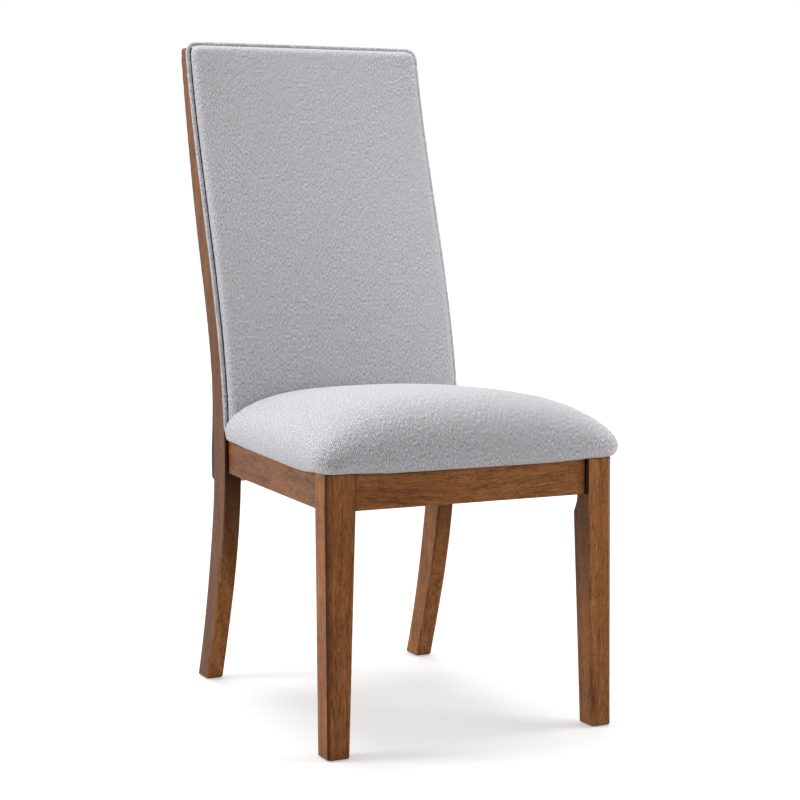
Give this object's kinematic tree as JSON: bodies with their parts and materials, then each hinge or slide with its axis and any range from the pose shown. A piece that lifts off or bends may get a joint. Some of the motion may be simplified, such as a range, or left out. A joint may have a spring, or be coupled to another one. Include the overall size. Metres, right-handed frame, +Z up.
{
  "type": "parsons chair",
  "caption": "High-backed dining chair with a stained wooden frame, raked curved rear legs, a crowned upholstered seat and a piped upholstered back.",
  "frame": {"origin": "on the floor, under the middle of the chair's footprint", "axes": "+Z up, -Y the way the sitter faces, +X to the right when looking along +Y at the chair's front"},
  "size_m": [0.4974, 0.658, 1.0416],
  "materials": {
    "stained_wood": "satin",
    "pale_wood": "matte",
    "plywood": "matte",
    "grey_fabric": "matte",
    "black_cloth": "matte",
    "zinc_steel": "satin",
    "dark_plastic": "matte"
  },
  "bodies": {
    "root": {"front_leg_left": "stained_wood", "rear_leg_left": "stained_wood", "side_rail_left": "stained_wood", "dowel_front_lower_left": "pale_wood", "dowel_side_lower_left": "pale_wood", "dowel_front_upper_left": "pale_wood", "dowel_side_upper_left": "pale_wood", "front_leg_right": "stained_wood", "rear_leg_right": "stained_wood", "side_rail_right": "stained_wood", "dowel_front_lower_right": "pale_wood", "dowel_side_lower_right": "pale_wood", "dowel_front_upper_right": "pale_wood", "dowel_side_upper_right": "pale_wood", "front_rail": "stained_wood", "rear_rail": "stained_wood", "crest_rail": "stained_wood", "middle_back_rail": "stained_wood", "lower_back_rail": "stained_wood", "corner_block_front_left": "pale_wood", "corner_block_rear_left": "pale_wood", "hanger_bolt_left": "zinc_steel", "hanger_washer_left": "zinc_steel", "hanger_nut_left": "zinc_steel", "seat_screw_front_left": "zinc_steel", "block_screw_front_left_front": "zinc_steel", "block_screw_front_left_side": "zinc_steel", "seat_screw_rear_left": "zinc_steel", "block_screw_rear_left_rear": "zinc_steel", "block_screw_rear_left_side": "zinc_steel", "foot_glide_front_left": "dark_plastic", "foot_glide_rear_left": "dark_plastic", "corner_block_front_right": "pale_wood", "corner_block_rear_right": "pale_wood", "hanger_bolt_right": "zinc_steel", "hanger_washer_right": "zinc_steel", "hanger_nut_right": "zinc_steel", "seat_screw_front_right": "zinc_steel", "block_screw_front_right_front": "zinc_steel", "block_screw_front_right_side": "zinc_steel", "seat_screw_rear_right": "zinc_steel", "block_screw_rear_right_rear": "zinc_steel", "block_screw_rear_right_side": "zinc_steel", "foot_glide_front_right": "dark_plastic", "foot_glide_rear_right": "dark_plastic", "seat_board": "plywood", "seat_dust_cover": "black_cloth", "seat_cushion": "grey_fabric", "inside_back_board": "plywood", "inside_back_pad": "grey_fabric", "back_welt": "grey_fabric", "outside_back_board": "plywood", "outside_back_cover": "grey_fabric", "back_screw_upper_left": "zinc_steel", "back_screw_upper_right": "zinc_steel", "back_screw_lower_left": "zinc_steel", "back_screw_lower_right": "zinc_steel"}
  },
  "joints": []
}
